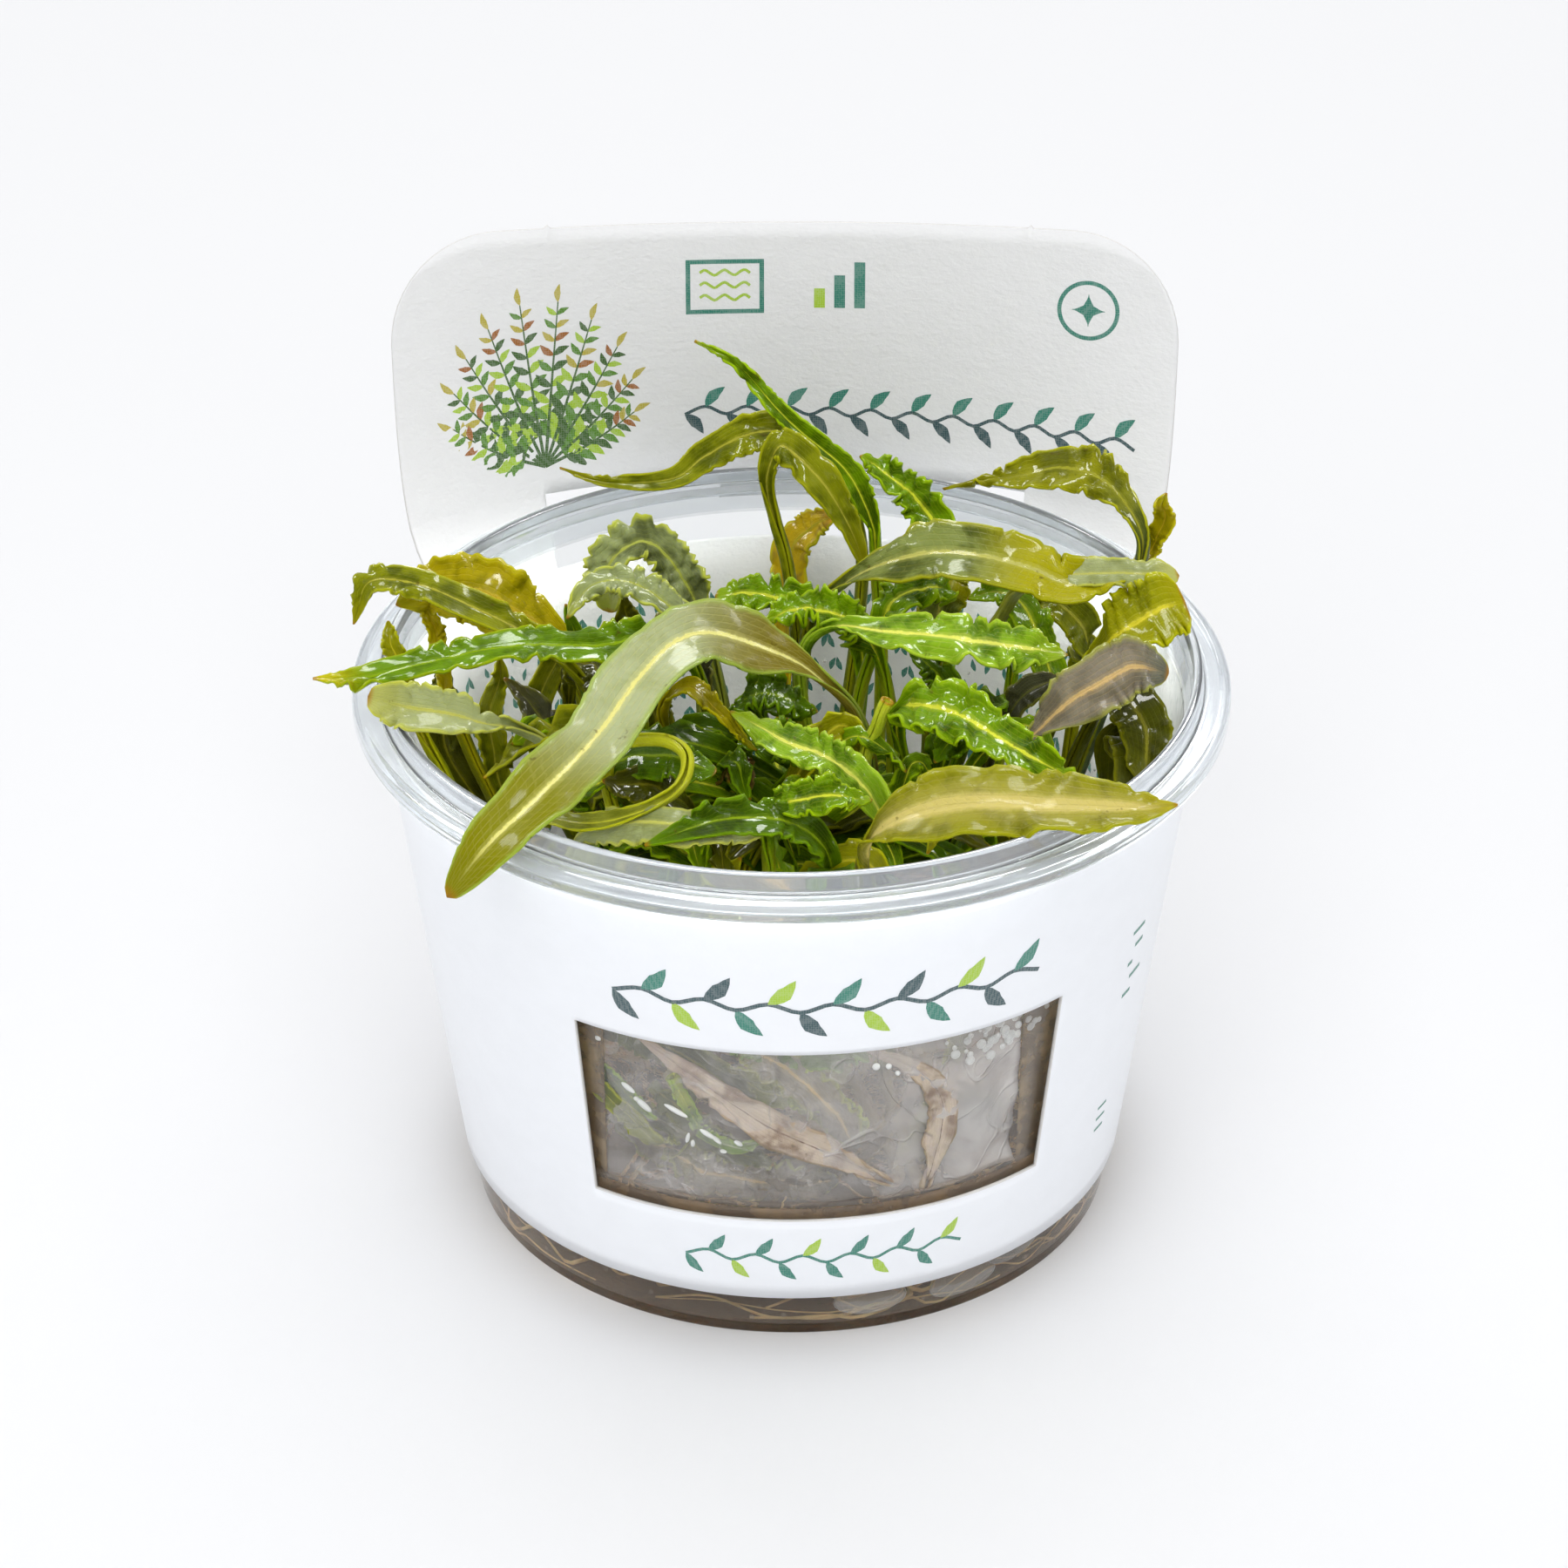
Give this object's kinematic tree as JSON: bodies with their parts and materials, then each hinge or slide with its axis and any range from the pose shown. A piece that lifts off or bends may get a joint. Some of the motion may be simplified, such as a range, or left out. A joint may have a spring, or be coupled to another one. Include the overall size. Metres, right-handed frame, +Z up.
{
  "type": "aquarium plant tissue culture cup",
  "caption": "Clear plastic cup of narrow-leaved water plants growing on culture gel, held in a white card sleeve with a front window and a tall display header.",
  "frame": {"origin": "centre of the cup's flat underside", "axes": "+Z up the cup, -Y towards the window in the sleeve, +Y towards the display header, +X to the right when looking at the window"},
  "size_m": [0.1041, 0.1031, 0.0969],
  "materials": {
    "clear_plastic": "thin clear moulded plastic, glossy",
    "white_card": "coated white board, satin",
    "culture_gel": "see-through brownish jelly, wet",
    "pale_crown": "pale yellow-green stem tissue",
    "leaf_green": "bright green fresh leaf, semi-gloss",
    "leaf_olive": "olive leaf with a pale midrib, semi-gloss",
    "leaf_grey_brown": "grey-brown leaf with yellow edges, satin",
    "leaf_tan": "orange-tan old leaf, wet and thin"
  },
  "bodies": {
    "root": {"card_sleeve": "white_card", "crown_back": "pale_crown", "crown_front": "pale_crown", "crown_front_left": "pale_crown", "crown_left": "pale_crown", "crown_middle": "pale_crown", "crown_right": "pale_crown", "culture_gel": "culture_gel", "cup": "clear_plastic", "leaf_back_arch": "leaf_green", "leaf_back_right": "leaf_olive", "leaf_behind_arch": "leaf_olive", "leaf_big_arch": "leaf_olive", "leaf_brown_crumpled": "leaf_tan", "leaf_crinkled_back": "leaf_green", "leaf_crinkled_rim": "leaf_green", "leaf_curled_back": "leaf_grey_brown", "leaf_curled_tip": "leaf_green", "leaf_dark_centre": "leaf_olive", "leaf_dark_right": "leaf_olive", "leaf_front_bottom": "leaf_olive", "leaf_front_right": "leaf_olive", "leaf_green_front": "leaf_green", "leaf_green_left": "leaf_green", "leaf_green_midrib": "leaf_green", "leaf_green_right": "leaf_green", "leaf_grey_arch": "leaf_grey_brown", "leaf_grey_fold": "leaf_grey_brown", "leaf_grey_right": "leaf_grey_brown", "leaf_left_front_inner": "leaf_grey_brown", "leaf_left_inner": "leaf_olive", "leaf_left_strap": "leaf_olive", "leaf_left_wall": "leaf_olive", "leaf_long_back_left": "leaf_green", "leaf_long_front_left": "leaf_olive", "leaf_low_back": "leaf_olive", "leaf_low_back_left": "leaf_grey_brown", "leaf_low_centre": "leaf_olive", "leaf_low_front": "leaf_olive", "leaf_low_front_right": "leaf_green", "leaf_low_left": "leaf_grey_brown", "leaf_low_middle": "leaf_olive", "leaf_low_right": "leaf_olive", "leaf_low_right_side": "leaf_green", "leaf_low_right_wall": "leaf_olive", "leaf_orange_back": "leaf_tan", "leaf_over_left_rim": "leaf_grey_brown", "leaf_serrated_right": "leaf_green", "leaf_small_green": "leaf_green", "leaf_tall_pointed": "leaf_green", "leaf_two_hump": "leaf_olive", "leaf_window_curved": "leaf_tan", "leaf_window_green": "leaf_green", "leaf_window_tan": "leaf_tan", "leaf_yellow_loop": "leaf_olive"}
  },
  "joints": []
}
